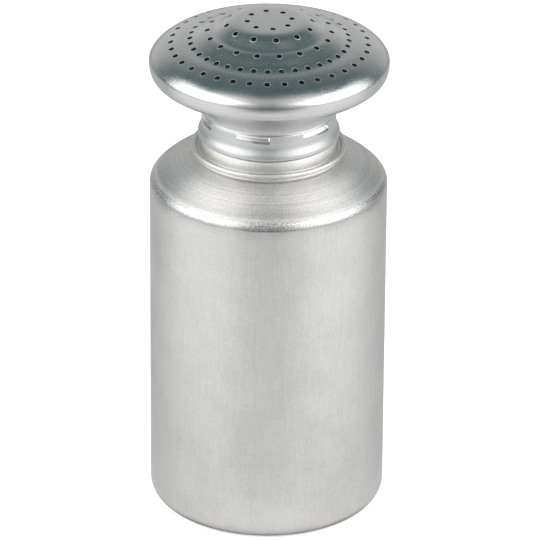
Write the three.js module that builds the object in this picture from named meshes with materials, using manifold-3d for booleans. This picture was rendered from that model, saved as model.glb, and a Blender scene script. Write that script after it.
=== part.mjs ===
// Aluminium shaker for sugar, flour or spice: a drawn canister with a necked mouth, and a mushroom
// head that turns on the neck and lifts off. The head is a perforated, stepped rose whose rim is
// rolled under a funnel collar. Six lanced lugs on the collar hold it to the neck.
// Millimetres, +Z up. The origin is the centre of the flat base, and the front is towards -Y.
import * as THREE from 'three';
import { mergeVertices } from 'three/addons/utils/BufferGeometryUtils.js';
import Module from 'manifold-3d';

const wasm = await Module();
wasm.setup();

// Metal and fits
const sheet = 0.9; // wall of every pressed piece
const seatGap = 0.3; // left between pieces that rest on each other
const cutOverrun = 2; // how far a cutting tool runs past the metal

// Neck, which the collar, the washer and the rings below it follow
const neckRadius = 20;
const neckHeight = 12.6;
const neckRoom = 1.7; // from the neck to the inside of the collar's skirt
const neckLugProud = 0.45;
const neckLugHeight = 1.5;
const neckLugAngle = 20;

// Canister: wall and shoulder. The shares place the points that steer the shoulder's curve.
const canRadius = 40;
const canFloor = 1.2;
const baseCorner = 4.8;
const shoulderEdgeHeight = 117.6;
const shoulderEdgeRound = 1.2;
const shoulderRise = 9.7;
const shoulderEdgeShareIn = 0.18;
const shoulderEdgeShareUp = 0.38;
const shoulderFootShareOut = 0.52;
const shoulderFootShareDown = 0.134;

// Canister: the seat of the collar, the trough round it and the two rings that stop the head
const seatWidth = 2.9;
const seatBandHeight = 3.2;
const seatEdgeRound = 0.5;
const troughWidth = 1.4;
const troughDepth = 2.1;
const beadSection = 0.95;
const footRingInset = 2.1;
const footRingHeight = 1.85;
const footRingBulge = 1.1;

// Collar, measured up from its lower edge
const lipFlare = 1.25;
const lipHeight = 0.8;
const lipTuck = 0.55; // how far the lip draws in under its widest line
const flareHeight = 4.7;
const ledgeHeight = 8.7;
const ledgeDepth = 0.45;
const funnelLegUp = 3.1;
const funnelLegIn = 3.8;
const hemSeatHeight = 17.3; // where the rose's hem comes to lie

// Lugs: a pocket under the ledge, with a slot that opens beneath it
const lugCount = 6;
const lugAngle = 31;
const lugEndAzimuth = 1; // right-hand end of the first lug, from the front
const pocketHeight = 1.5;
const pocketDepth = 0.85;
const pocketRoof = 0.15;
const slotHeight = 1.2;
const slotLength = 6.2;

// Rose, measured up from the edge of its hem under the rim
const hemReach = 6.6; // from the collar's skirt to the edge of the hem
const rimRadius = 40.2;
const rimHeight = 9.35;
const rimLegUp = 2.0;
const rimLegDown = 6.4;
const hemShareOut = 0.69;
const hemLegUp = 4.0;
const brimInset = 7.2;
const brimHeight = 15.25;
const brimShareOut = 0.555;
const brimLegDown = 1.25;
const crownHeight = 23.9;

// Steps of the dome from the brim in: shares of the brim's radius, and of the rise to the crown
const domeStepShares = [
  { out: 0.833, up: 0.164 },
  { out: 0.773, up: 0.253 },
  { out: 0.658, up: 0.482 },
  { out: 0.597, up: 0.56 },
  { out: 0.548, up: 0.616 },
  { out: 0.406, up: 0.914 },
  { out: 0.352, up: 0.966 },
  { out: 0.279, up: 0.99 },
];

// Perforations: rings of round holes, each ring with a hole on the same azimuth
const holeRadius = 0.95;
const holeAzimuth = 8.8;
const holeRings = [
  { radius: 7.5, count: 8 },
  { radius: 14.4, count: 12 },
  { radius: 20.7, count: 18 },
  { radius: 26.5, count: 36 },
  { radius: 32.9, count: 36 },
];

// Sealing washer, trapped in the head over the mouth
const washerThickness = 1.2;
const washerInset = 0.4; // how far it stands inside the mouth's wall
const washerOverhang = 2.0;

// Fineness of the facets
const turnSteps = 36;
const cornerSteps = 3;
const shoulderSteps = 6;
const beadSteps = 6;
const flareSteps = 4;
const funnelSteps = 4;
const hemSteps = 6;
const flangeSteps = 1; // how many of the hem's steps lie on the collar's flange
const brimSteps = 4;
const lugSteps = 6;
const holeSides = 6;

// Radii that follow from the sizes above
const seatRadius = neckRadius + seatWidth;
const beadOuterRadius = seatRadius + troughWidth + 2 * beadSection;
const neckFootRadius = beadOuterRadius - footRingInset;
const collarRadius = neckRadius + neckRoom + sheet;
const lipRadius = collarRadius + lipFlare;
const hemRadius = collarRadius + hemReach;
const brimRadius = rimRadius - brimInset;
const pocketFloorRadius = collarRadius - ledgeDepth / 2 - pocketDepth;

// Heights that follow from the sizes above
const neckFootHeight = shoulderEdgeHeight + shoulderRise;
const beadCentreHeight = neckFootHeight + footRingHeight + beadSection;
const beadTopHeight = beadCentreHeight + beadSection;
const seatHeight = beadTopHeight + seatBandHeight;
const mouthHeight = seatHeight + neckHeight;
const collarFootHeight = seatHeight + seatGap;
const washerFootHeight = mouthHeight + seatGap;
const neckLugFootHeight = collarFootHeight + ledgeHeight + seatGap;

function point(radius, height) {
  return new THREE.Vector2(radius, height);
}

function material(color, roughness, metalness) {
  return new THREE.MeshStandardMaterial({ color, roughness, metalness });
}

// A closed half-section, outer side upwards, turned about the Z axis.
function turned(section) {
  const lathe = new THREE.LatheGeometry(section, turnSteps);
  lathe.rotateX(Math.PI / 2);
  return welded(lathe);
}

// Only positions, shared corners merged, and no triangle that has collapsed to a line.
function welded(geometry) {
  geometry.deleteAttribute('normal');
  geometry.deleteAttribute('uv');
  const merged = mergeVertices(geometry);
  const corners = merged.getIndex().array;
  const kept = [];
  for (let i = 0; i < corners.length; i += 3) {
    const [a, b, c] = corners.slice(i, i + 3);
    if (a !== b && b !== c && c !== a) {
      kept.push(a, b, c);
    }
  }
  merged.setIndex(kept);
  return merged;
}

function solidOf(geometry) {
  return new wasm.Manifold(new wasm.Mesh({
    numProp: 3,
    vertProperties: new Float32Array(geometry.getAttribute('position').array),
    triVerts: new Uint32Array(geometry.getIndex().array),
  }));
}

function geometryOf(solid) {
  const mesh = solid.getMesh();
  const geometry = new THREE.BufferGeometry();
  geometry.setAttribute('position', new THREE.BufferAttribute(new Float32Array(mesh.vertProperties), 3));
  geometry.setIndex([...mesh.triVerts]);
  return geometry;
}

function piece(name, geometry, finish) {
  const shaded = geometry.toNonIndexed();
  shaded.computeVertexNormals();
  const mesh = new THREE.Mesh(shaded, finish);
  mesh.name = name;
  return mesh;
}

// The line at a constant distance to the left of a run of points.
function offsetLine(line, distance) {
  return line.map((here, i) => {
    const before = line[Math.max(i - 1, 0)];
    const after = line[Math.min(i + 1, line.length - 1)];
    const arriving = (i === 0 ? after.clone().sub(here) : here.clone().sub(before)).normalize();
    const leaving = (i === line.length - 1 ? arriving.clone() : after.clone().sub(here)).normalize();
    const along = arriving.clone().add(leaving).normalize();
    const stretch = 1 / Math.max(along.dot(arriving), Math.SQRT1_2);
    return point(here.x - along.y * distance * stretch, here.y + along.x * distance * stretch);
  });
}

// Points along an arc, and along a curve that legs steer at both ends.
function arc(centreRadius, centreHeight, radius, from, to, steps) {
  const spots = [];
  for (let i = 0; i <= steps; i += 1) {
    const angle = from + (to - from) * i / steps;
    spots.push(point(centreRadius + radius * Math.cos(angle), centreHeight + radius * Math.sin(angle)));
  }
  return spots;
}

function bend(start, startLeg, endLeg, end, steps) {
  return new THREE.CubicBezierCurve(start, startLeg, endLeg, end).getPoints(steps);
}

// Canister: one drawn shell with a folded bead under the neck.
function canisterSection() {
  const beadCentreRadius = beadOuterRadius - beadSection;
  const troughRadius = troughWidth / 2;
  const troughFloor = beadTopHeight - troughDepth;
  const seatBore = seatRadius - sheet;
  const neckBore = neckRadius - sheet;
  const boreCorner = baseCorner - sheet;
  const rimRound = sheet / 2;
  const quarter = Math.PI / 2;
  const crease = -quarter - Math.asin(footRingBulge / 2 / beadSection) / 2;
  const creaseSpot = arc(beadCentreRadius, beadCentreHeight, beadSection, crease, crease, 1)[0];

  const edge = point(canRadius, shoulderEdgeHeight);
  const foot = point(neckFootRadius, neckFootHeight);
  const width = foot.x - edge.x;

  const shoulder = bend(
    edge,
    point(edge.x + shoulderEdgeShareIn * width, edge.y + shoulderEdgeShareUp * shoulderRise),
    point(foot.x - shoulderFootShareOut * width, foot.y - shoulderFootShareDown * shoulderRise),
    foot,
    shoulderSteps,
  );
  const bore = offsetLine(shoulder, sheet).filter((spot) => spot.x < canRadius - sheet);
  const shoulderBore = bore.filter((spot, i) => i % 2 === 0 || i === bore.length - 1);

  return [
    point(0, 0),
    ...arc(canRadius - baseCorner, baseCorner, baseCorner, -quarter, 0, cornerSteps),
    point(canRadius, shoulderEdgeHeight - shoulderEdgeRound),
    ...shoulder.slice(1),
    point(neckFootRadius + footRingBulge, neckFootHeight + footRingHeight / 3),
    point(creaseSpot.x + footRingBulge / 3, creaseSpot.y - footRingHeight / 3),
    ...arc(beadCentreRadius, beadCentreHeight, beadSection, crease, Math.PI, beadSteps),
    ...arc(seatRadius + troughRadius, troughFloor + troughRadius, troughRadius, 0, -Math.PI, cornerSteps),
    ...arc(seatRadius - seatEdgeRound, seatHeight - seatEdgeRound, seatEdgeRound, 0, quarter, 2),
    point(neckRadius, seatHeight),
    ...arc(neckRadius - rimRound, mouthHeight - rimRound, rimRound, 0, Math.PI, cornerSteps),
    point(neckBore, seatHeight - sheet),
    point(seatBore, seatHeight - 2 * sheet),
    point(seatBore, neckFootHeight),
    ...shoulderBore.reverse(),
    point(canRadius - sheet, shoulderEdgeHeight - shoulderEdgeRound),
    ...arc(canRadius - sheet - boreCorner, canFloor + boreCorner, boreCorner, 0, -quarter, cornerSteps),
    point(0, canFloor),
  ];
}

// The neck's lugs stand just above the collar's, and pass between them once the head has turned.
function canisterGeometry() {
  const middle = THREE.MathUtils.degToRad(lugEndAzimuth - lugAngle / 2);
  const half = THREE.MathUtils.degToRad(neckLugAngle / 2);
  const foot = neckLugFootHeight;
  const ring = [
    point(neckRadius - sheet / 2, foot),
    point(neckRadius, foot),
    point(neckRadius + neckLugProud, foot + neckLugProud),
    point(neckRadius + neckLugProud, foot + neckLugHeight - neckLugProud),
    point(neckRadius, foot + neckLugHeight),
    point(neckRadius - sheet / 2, foot + neckLugHeight),
    point(neckRadius - sheet / 2, foot),
  ];
  let solid = solidOf(turned(canisterSection()));
  for (let lug = 0; lug < lugCount; lug += 1) {
    const azimuth = middle + lug * 2 * Math.PI / lugCount;
    solid = solid.add(sectorOf(ring, azimuth - half, azimuth + half));
  }
  return geometryOf(solid);
}

// The part of a ring between two azimuths from the front.
function sectorOf(ring, from, to) {
  const reach = 2 * Math.max(...ring.map((spot) => spot.x));
  const top = Math.max(...ring.map((spot) => spot.y)) + cutOverrun;
  const edge = arc(0, 0, reach, from - Math.PI / 2, to - Math.PI / 2, lugSteps);
  const slice = new THREE.Shape([point(0, 0), ...edge]);
  const wedge = new THREE.ExtrudeGeometry(slice, { depth: top, bevelEnabled: false });
  return solidOf(turned(ring)).intersect(solidOf(welded(wedge)));
}

// Collar: flared lip, straight skirt, ledge, funnel, and the flange that the rose is rolled over.
function collarSection() {
  const waist = (lipHeight + flareHeight) / 2;
  const [start, next] = flangeLine();
  const leg = next.clone().sub(start).setLength(funnelLegIn);
  const lower = [
    point(lipRadius - lipTuck, 0),
    ...bend(
      point(lipRadius, lipHeight),
      point(lipRadius, waist),
      point(collarRadius, waist),
      point(collarRadius, flareHeight),
      flareSteps,
    ),
    point(collarRadius, ledgeHeight - ledgeDepth),
    ...bend(
      point(collarRadius - ledgeDepth, ledgeHeight),
      point(collarRadius - ledgeDepth, ledgeHeight + funnelLegUp),
      start.clone().sub(leg),
      start,
      funnelSteps,
    ),
    ...flangeLine().slice(1),
  ];
  return [...lower, ...offsetLine(lower, sheet).reverse(), lower[0]];
}

// The flange lies on the inner face of the rose's hem.
function flangeLine() {
  const hem = hemCurve(hemSeatHeight);
  return offsetLine(hem, sheet + seatGap).slice(0, flangeSteps + 1);
}

// The underside of the rim, from the edge of the hem to the widest line.
function hemCurve(height) {
  return bend(
    point(hemRadius, height),
    point(hemRadius + hemShareOut * (rimRadius - hemRadius), height + hemLegUp),
    point(rimRadius, height + rimHeight - rimLegDown),
    point(rimRadius, height + rimHeight),
    hemSteps,
  );
}

// Each lug is metal pressed inwards: a tongue inside the skirt, with the pocket cut out of its face.
function collarGeometry() {
  const spread = THREE.MathUtils.degToRad(lugAngle);
  const margin = sheet / collarRadius;
  let solid = solidOf(turned(collarSection()));
  for (let lug = 0; lug < lugCount; lug += 1) {
    const azimuth = THREE.MathUtils.degToRad(lugEndAzimuth) + lug * 2 * Math.PI / lugCount;
    solid = solid
      .add(sectorOf(tongueRing(), azimuth - spread - margin, azimuth + margin))
      .subtract(sectorOf(pocketRing(), azimuth - spread, azimuth))
      .subtract(slotCutter(azimuth));
  }
  return geometryOf(solid);
}

function tongueRing() {
  const face = pocketFloorRadius - sheet;
  const wall = collarRadius - sheet / 2;
  const shelf = ledgeHeight - pocketRoof - pocketHeight / 2;
  return [
    point(face, shelf),
    point(wall, shelf - (wall - face)),
    point(wall, ledgeHeight),
    point(face, ledgeHeight),
    point(face, shelf),
  ];
}

// The pocket has a flat roof and a sloping floor.
function pocketRing() {
  const roof = ledgeHeight - pocketRoof;
  const floor = roof - pocketHeight;
  return [
    point(pocketFloorRadius, roof - pocketRoof),
    point(collarRadius + ledgeDepth / 2, floor),
    point(collarRadius + cutOverrun, floor),
    point(collarRadius + cutOverrun, roof),
    point(pocketFloorRadius, roof),
    point(pocketFloorRadius, roof - pocketRoof),
  ];
}

// The slot is a three-cornered window that opens towards the lug's right-hand end.
function slotCutter(azimuth) {
  const top = ledgeHeight - pocketRoof - pocketHeight;
  const window = new THREE.Shape();
  window.moveTo(-slotLength, top - pocketRoof);
  window.lineTo(0, top - slotHeight);
  window.lineTo(0, top);
  window.lineTo(-slotLength, top);
  window.closePath();
  const depth = 2 * cutOverrun;
  const cutter = new THREE.ExtrudeGeometry(window, { depth, bevelEnabled: false });
  cutter.rotateX(Math.PI / 2);
  cutter.translate(0, -(collarRadius - cutOverrun), 0);
  cutter.rotateZ(azimuth);
  return solidOf(welded(cutter));
}

// Rose: the outer skin from the hem, round the rim and up over the steps to the crown.
function roseSkin() {
  const brim = bend(
    point(rimRadius, rimHeight),
    point(rimRadius, rimHeight + rimLegUp),
    point(brimRadius + brimShareOut * brimInset, brimHeight - brimLegDown),
    point(brimRadius, brimHeight),
    brimSteps,
  );
  const rise = crownHeight - brimHeight;
  const steps = domeStepShares.map(({ out, up }) => point(out * brimRadius, brimHeight + up * rise));
  return [...hemCurve(0), ...brim.slice(1), ...steps, point(0, crownHeight)];
}

// Every second point is enough for the inner face.
function roseSection(skin) {
  const last = skin.length - 1;
  const inside = offsetLine(skin, sheet).filter((spot, i) => i % 2 === 0 || i === last);
  inside[inside.length - 1].x = 0;
  skin[last].x = 0;
  return [...inside.reverse(), ...skin];
}

// Height and slope of the skin at a radius, on the part above the rim.
function skinAt(skin, radius) {
  const i = skin.findIndex((spot, k) => k > 0 && spot.y > rimHeight && spot.x <= radius);
  const low = skin[i - 1];
  const high = skin[i];
  const share = (low.x - radius) / (low.x - high.x);
  return { height: low.y + share * (high.y - low.y), slope: (high.y - low.y) / (high.x - low.x) };
}

function roseGeometry() {
  const skin = roseSkin();
  let solid = solidOf(turned(roseSection(skin)));
  for (const ring of holeRings) {
    const { height, slope } = skinAt(skin, ring.radius);
    for (let k = 0; k < ring.count; k += 1) {
      const punch = new THREE.CylinderGeometry(holeRadius, holeRadius, 2 * cutOverrun, holeSides);
      punch.rotateX(Math.PI / 2);
      punch.rotateX(-Math.atan(slope));
      punch.translate(0, -ring.radius, height);
      punch.rotateZ(THREE.MathUtils.degToRad(holeAzimuth) + k * 2 * Math.PI / ring.count);
      solid = solid.subtract(solidOf(welded(punch)));
    }
  }
  return geometryOf(solid);
}

function washerSection() {
  const bore = neckRadius - sheet - washerInset;
  const edge = neckRadius + washerOverhang;
  return [
    point(bore, 0),
    point(edge, 0),
    point(edge, washerThickness),
    point(bore, washerThickness),
    point(bore, 0),
  ];
}

const brushed = material(0xc4c7c6, 0.45, 1);
const polished = material(0xa3abad, 0.28, 1);
const silicone = material(0xe6e4dd, 0.6, 0);

const shaker = new THREE.Group();
shaker.add(piece('canister', canisterGeometry(), brushed));

const washer = piece('sealing_washer', turned(washerSection()), silicone);
washer.position.z = washerFootHeight;
shaker.add(washer);

const head = new THREE.Group();
head.position.z = collarFootHeight;
head.add(piece('collar', collarGeometry(), brushed.clone()));
const rose = piece('rose', roseGeometry(), polished);
rose.position.z = hemSeatHeight;
head.add(rose);
shaker.add(head);

export default shaker;
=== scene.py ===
# Aluminium powder shaker with a perforated mushroom head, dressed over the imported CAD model.
# Lengths in the dictionaries are millimetres and angles are degrees.
import math

import bpy
import numpy as np
from mathutils import Matrix, Vector


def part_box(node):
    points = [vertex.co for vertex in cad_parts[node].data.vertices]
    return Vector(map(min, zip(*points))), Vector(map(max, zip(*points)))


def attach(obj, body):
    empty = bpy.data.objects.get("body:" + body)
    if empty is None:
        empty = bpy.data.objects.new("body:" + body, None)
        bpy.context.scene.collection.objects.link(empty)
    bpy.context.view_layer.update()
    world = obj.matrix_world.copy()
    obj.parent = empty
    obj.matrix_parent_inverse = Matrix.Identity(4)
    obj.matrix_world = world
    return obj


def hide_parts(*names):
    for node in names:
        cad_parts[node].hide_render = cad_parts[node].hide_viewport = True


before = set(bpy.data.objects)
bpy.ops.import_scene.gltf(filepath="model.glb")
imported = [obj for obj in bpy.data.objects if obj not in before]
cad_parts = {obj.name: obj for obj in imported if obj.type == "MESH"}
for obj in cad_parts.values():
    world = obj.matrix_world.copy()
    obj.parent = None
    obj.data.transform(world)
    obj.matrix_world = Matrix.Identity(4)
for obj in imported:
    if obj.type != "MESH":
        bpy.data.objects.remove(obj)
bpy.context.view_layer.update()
mm = 0.001

# Corners of the CAD boxes, which set the heights and the widest radii
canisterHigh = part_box("canister")[1]
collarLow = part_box("collar")[0]
roseLow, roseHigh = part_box("rose")
washerLow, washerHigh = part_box("sealing_washer")

# What the pressed pieces share
sheetThickness = 0.9
seatGap = 0.3
bumpDepth = 0.35
smoothUnder = 40  # degrees: edges that bend less are shaded smooth


# Lines of a section, as rows of (radius, height)

def arcLine(centreRadius, centreHeight, radius, start, end, steps):
    angles = np.radians(np.linspace(start, end, steps + 1))
    across, up = radius * np.cos(angles), radius * np.sin(angles)
    return np.column_stack([centreRadius + across, centreHeight + up])


def bentLine(start, startLeg, endLeg, end, steps):
    # a cubic curve between two points, steered by two more
    t = np.linspace(0, 1, steps + 1)[:, None]
    a, b, c, d = (np.array(p, float) for p in (start, startLeg, endLeg, end))
    return (1 - t) ** 3 * a + 3 * t * (1 - t) ** 2 * b + 3 * t ** 2 * (1 - t) * c + t ** 3 * d


def straightLine(start, end, steps):
    t = np.linspace(0, 1, steps + 1)[:, None]
    return np.array(start, float) * (1 - t) + np.array(end, float) * t


def besideLine(line, distance):
    # the same line, moved to its left
    along = np.gradient(line, axis=0)
    along /= np.linalg.norm(along, axis=1)[:, None]
    return line + distance * np.column_stack([-along[:, 1], along[:, 0]])


def roundedCorner(before, corner, after, steps):
    t = np.linspace(0, 1, steps + 1)[:, None]
    a, b, c = (np.array(p, float) for p in (before, corner, after))
    return (1 - t) ** 2 * a + 2 * t * (1 - t) * b + t ** 2 * c


# Meshes

def meshObject(name, vertices, faces):
    mesh = bpy.data.meshes.new(name)
    mesh.from_pydata([tuple(v) for v in vertices], [], faces)
    mesh.validate()
    mesh.shade_smooth()
    mesh.set_sharp_from_angle(angle=math.radians(smoothUnder))
    obj = bpy.data.objects.new(name, mesh)
    bpy.context.collection.objects.link(obj)
    return obj


def turnedGrid(section, columns, footHeight=0, press=None, closed=True):
    # turns a section about the axis; press may move a row in or out by the azimuth, 0 at the front
    onAxis = 1e-6
    angles = np.linspace(0, 2 * math.pi, columns, endpoint=False)
    vertices, rows = [], []
    for radius, height in section:
        if radius < onAxis:
            rows.append([len(vertices)] * columns)
            vertices.append((0, 0, (footHeight + height) * mm))
            continue
        radii = np.full(columns, radius)
        if press is not None:
            radii = radii + press(np.degrees(angles) + 90, radius, height)
        rows.append(list(range(len(vertices), len(vertices) + columns)))
        heights = np.full(columns, (footHeight + height) * mm)
        vertices.extend(zip(radii * np.cos(angles) * mm, radii * np.sin(angles) * mm, heights))
    faces = []
    for i in range(len(rows) if closed else len(rows) - 1):
        low, high = rows[i], rows[(i + 1) % len(rows)]
        for j in range(columns):
            k = (j + 1) % columns
            corners = [low[j], low[k], high[k], high[j]]
            face = [c for n, c in enumerate(corners) if c not in corners[:n]]
            if len(face) > 2:
                faces.append(face)
    return vertices, faces


def tidyRows(section):
    # drops rows that lie on the one before
    tooClose = 1e-4
    kept = [section[0]]
    for row in section[1:]:
        if np.linalg.norm(row - kept[-1]) > tooClose:
            kept.append(row)
    return np.array(kept)


def carve(obj, cutter):
    cut = obj.modifiers.new("cut", "BOOLEAN")
    cut.operation = "DIFFERENCE"
    cut.solver = "EXACT"
    cut.object = cutter
    bpy.context.view_layer.update()
    graph = bpy.context.evaluated_depsgraph_get()
    carved = bpy.data.meshes.new_from_object(obj.evaluated_get(graph))
    obj.modifiers.clear()
    old = obj.data
    obj.data = carved
    bpy.data.meshes.remove(old)
    bpy.data.objects.remove(cutter)
    obj.data.shade_smooth()
    obj.data.set_sharp_from_angle(angle=math.radians(smoothUnder))


def prismFaces(first, sides):
    # two caps and the walls between them, from the corners of one cap and then of the other
    faces = [[first + k for k in reversed(range(sides))], [first + sides + k for k in range(sides)]]
    for k in range(sides):
        n = (k + 1) % sides
        faces.append([first + k, first + n, first + sides + n, first + sides + k])
    return faces


# Shader node groups

def nodeGroup(name, inputs, outputs):
    group = bpy.data.node_groups.new(name, "ShaderNodeTree")
    for label, value in inputs.items():
        socket = group.interface.new_socket(label, in_out="INPUT", socket_type="NodeSocketFloat")
        socket.default_value = value
    for label in outputs:
        group.interface.new_socket(label, in_out="OUTPUT", socket_type="NodeSocketFloat")
    return group, group.nodes.new("NodeGroupInput"), group.nodes.new("NodeGroupOutput")


def mathOf(tree, kind, a, b=0.0, clamp=False):
    node = tree.nodes.new("ShaderNodeMath")
    node.operation = kind
    node.use_clamp = clamp
    for socket, value in zip(node.inputs, (a, b)):
        if isinstance(value, (int, float)):
            socket.default_value = value
        else:
            tree.links.new(value, socket)
    return node.outputs[0]


def spread(tree, value, fromLow, fromHigh, toLow=0.0, toHigh=1.0):
    # a soft step from toLow up to toHigh
    node = tree.nodes.new("ShaderNodeMapRange")
    node.interpolation_type = "SMOOTHSTEP"
    tree.links.new(value, node.inputs["Value"])
    ends = {"From Min": fromLow, "From Max": fromHigh, "To Min": toLow, "To Max": toHigh}
    for label, number in ends.items():
        node.inputs[label].default_value = number
    return node.outputs["Result"]


def fade(tree, value, start, end):
    return spread(tree, value, start, end, 1.0, 0.0)


def lengthOf(tree, x, y):
    squares = mathOf(tree, "ADD", mathOf(tree, "MULTIPLY", x, x), mathOf(tree, "MULTIPLY", y, y))
    return mathOf(tree, "SQRT", squares)


def blendOf(tree, parts, base=0.0):
    # base plus each mask times its weight
    total = base
    for mask, weight in parts:
        total = mathOf(tree, "ADD", mathOf(tree, "MULTIPLY", mask, weight), total)
    return total


def weigh(tree, masks, weights, base=0.0):
    return blendOf(tree, [(masks[name], weight) for name, weight in weights.items()], base)


def place(tree):
    return tree.nodes.new("ShaderNodeTexCoord").outputs["Object"]


def stretched(tree, vector, x, y, z):
    node = tree.nodes.new("ShaderNodeVectorMath")
    node.operation = "MULTIPLY"
    tree.links.new(vector, node.inputs[0])
    node.inputs[1].default_value = (x, y, z)
    return node.outputs[0]


def noise(tree, vector, scale, detail=3.0, roughness=0.5, w=None, distortion=0.0):
    node = tree.nodes.new("ShaderNodeTexNoise")
    if w is not None:
        node.noise_dimensions = "4D"
        tree.links.new(w, node.inputs["W"])
    tree.links.new(vector, node.inputs["Vector"])
    if isinstance(scale, (int, float)):
        node.inputs["Scale"].default_value = scale
    else:
        tree.links.new(scale, node.inputs["Scale"])
    node.inputs["Detail"].default_value = detail
    node.inputs["Roughness"].default_value = roughness
    node.inputs["Distortion"].default_value = distortion
    return node.outputs["Fac"]


def aroundAxis(tree, turns):
    # direction from the axis, distance from it, and height
    split = tree.nodes.new("ShaderNodeSeparateXYZ")
    tree.links.new(place(tree), split.inputs[0])
    x, y, z = split.outputs
    radius = lengthOf(tree, x, y)
    safe = mathOf(tree, "MAXIMUM", radius, 1e-5)
    join = tree.nodes.new("ShaderNodeCombineXYZ")
    for socket, value in zip(join.inputs, (x, y)):
        tree.links.new(mathOf(tree, "MULTIPLY", mathOf(tree, "DIVIDE", value, safe), turns), socket)
    return join.outputs[0], radius, z


def spunLinesGroup():
    # fine rings left by the spinning tool, and the broader bands between them
    wander = 0.35  # how much a ring changes on its way round
    slopeShare = 0.8  # how much the height counts beside the radius
    bandShare = 0.22  # bands for each line
    tree, ins, outs = nodeGroup("spunLines", {"Lines per mm": 3.0}, ["Fine", "Broad"])
    direction, radius, z = aroundAxis(tree, wander)
    walk = mathOf(tree, "SUBTRACT", radius, mathOf(tree, "MULTIPLY", z, slopeShare))
    perMetre = mathOf(tree, "MULTIPLY", ins.outputs["Lines per mm"], 1 / mm)
    line = mathOf(tree, "MULTIPLY", walk, perMetre)
    band = mathOf(tree, "MULTIPLY", walk, mathOf(tree, "MULTIPLY", perMetre, bandShare))
    fine = noise(tree, direction, 1.0, 2.0, 0.6, w=line)
    broad = noise(tree, direction, 1.0, 1.0, 0.5, w=band)
    tree.links.new(spread(tree, fine, 0.25, 0.75), outs.inputs["Fine"])
    tree.links.new(spread(tree, broad, 0.3, 0.7), outs.inputs["Broad"])
    return tree


def wallGrainGroup():
    # upright drawing marks and fine speckle
    streaksPerMetre = 1500.0
    upStretch = 0.05
    tree, ins, outs = nodeGroup("wallGrain", {"Grain": 2600.0}, ["Streaks", "Speckle"])
    here = place(tree)
    streaks = noise(tree, stretched(tree, here, 1.0, 1.0, upStretch), streaksPerMetre, 3.0, 0.6)
    speckle = noise(tree, here, ins.outputs["Grain"], 2.0, 0.7)
    tree.links.new(spread(tree, streaks, 0.25, 0.75), outs.inputs["Streaks"])
    tree.links.new(spread(tree, speckle, 0.25, 0.75), outs.inputs["Speckle"])
    return tree


def handlingGroup():
    # soft dents, cloudy patches from washing, and a few hairline scratches
    dentsPerMetre = 42.0
    cloudsPerMetre = 75.0
    hairRuns = [((0.5, 0.3, 0.9), 70.0), ((-0.7, 0.2, -0.4), 95.0)]  # turn, and patches per metre
    hairWidth = 0.006
    hairStretch = 0.16
    tree, ins, outs = nodeGroup("handling", {"Scratches": 1.0}, ["Dents", "Clouds", "Scratch"])
    here = place(tree)
    dents = noise(tree, stretched(tree, here, 1.0, 1.0, 0.7), dentsPerMetre, 1.0, 0.4)
    clouds = noise(tree, here, cloudsPerMetre, 4.0, 0.6, distortion=0.4)
    hairs = None
    for turn, scale in hairRuns:
        rotate = tree.nodes.new("ShaderNodeVectorRotate")
        rotate.rotation_type = "EULER_XYZ"
        rotate.inputs["Rotation"].default_value = turn
        tree.links.new(here, rotate.inputs["Vector"])
        turned = rotate.outputs[0]
        run = noise(tree, stretched(tree, turned, 1.0, hairStretch, hairStretch), scale * 4, 1.0, 0.3)
        off = mathOf(tree, "ABSOLUTE", mathOf(tree, "SUBTRACT", run, 0.5))
        line = fade(tree, off, 0.0, hairWidth)
        seen = spread(tree, noise(tree, turned, scale, 1.0, 0.3), 0.62, 0.68)
        hair = mathOf(tree, "MULTIPLY", line, seen)
        hairs = hair if hairs is None else mathOf(tree, "MAXIMUM", hairs, hair)
    scratch = mathOf(tree, "MULTIPLY", hairs, ins.outputs["Scratches"], clamp=True)
    tree.links.new(dents, outs.inputs["Dents"])
    tree.links.new(spread(tree, clouds, 0.3, 0.7), outs.inputs["Clouds"])
    tree.links.new(scratch, outs.inputs["Scratch"])
    return tree


# each loop's centre, half length, half width and turn, seen from above
rubLoops = [
    (19.9, -26.4, 2.3, 0.9, 15),
    (-34.2, -4.5, 5.2, 2.2, 10),
    (-35.4, -9.5, 4.0, 1.6, -8),
    (-33.0, 2.5, 4.6, 2.6, 24),
]


def rubMarksGroup():
    # loops that another piece of metal has rubbed into the brim
    patchesPerMetre = 260.0
    tree, ins, outs = nodeGroup("rubMarks", {"Width": 0.12}, ["Mark"])
    split = tree.nodes.new("ShaderNodeSeparateXYZ")
    tree.links.new(place(tree), split.inputs[0])
    mark = None
    for x, y, long, wide, turn in rubLoops:
        c, s = math.cos(math.radians(turn)), math.sin(math.radians(turn))
        across = mathOf(tree, "SUBTRACT", split.outputs["X"], x * mm)
        along = mathOf(tree, "SUBTRACT", split.outputs["Y"], y * mm)
        u = blendOf(tree, [(across, c / (wide * mm)), (along, s / (wide * mm))])
        v = blendOf(tree, [(across, -s / (long * mm)), (along, c / (long * mm))])
        off = mathOf(tree, "ABSOLUTE", mathOf(tree, "SUBTRACT", lengthOf(tree, u, v), 1.0))
        ratio = mathOf(tree, "DIVIDE", mathOf(tree, "MULTIPLY", off, wide), ins.outputs["Width"])
        line = fade(tree, ratio, 0.0, 1.0)
        mark = line if mark is None else mathOf(tree, "MAXIMUM", mark, line)
    patchy = spread(tree, noise(tree, place(tree), patchesPerMetre, 2.0, 0.5), 0.38, 0.62)
    tree.links.new(mathOf(tree, "MULTIPLY", mark, patchy), outs.inputs["Mark"])
    return tree


spunLines = spunLinesGroup()
rubMarks = rubMarksGroup()
wallGrain = wallGrainGroup()
handling = handlingGroup()
print("node groups built")


# Materials

def placeGroup(tree, group, **values):
    node = tree.nodes.new("ShaderNodeGroup")
    node.node_tree = group
    for label, value in values.items():
        node.inputs[label.replace("_", " ")].default_value = value
    return node


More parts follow.
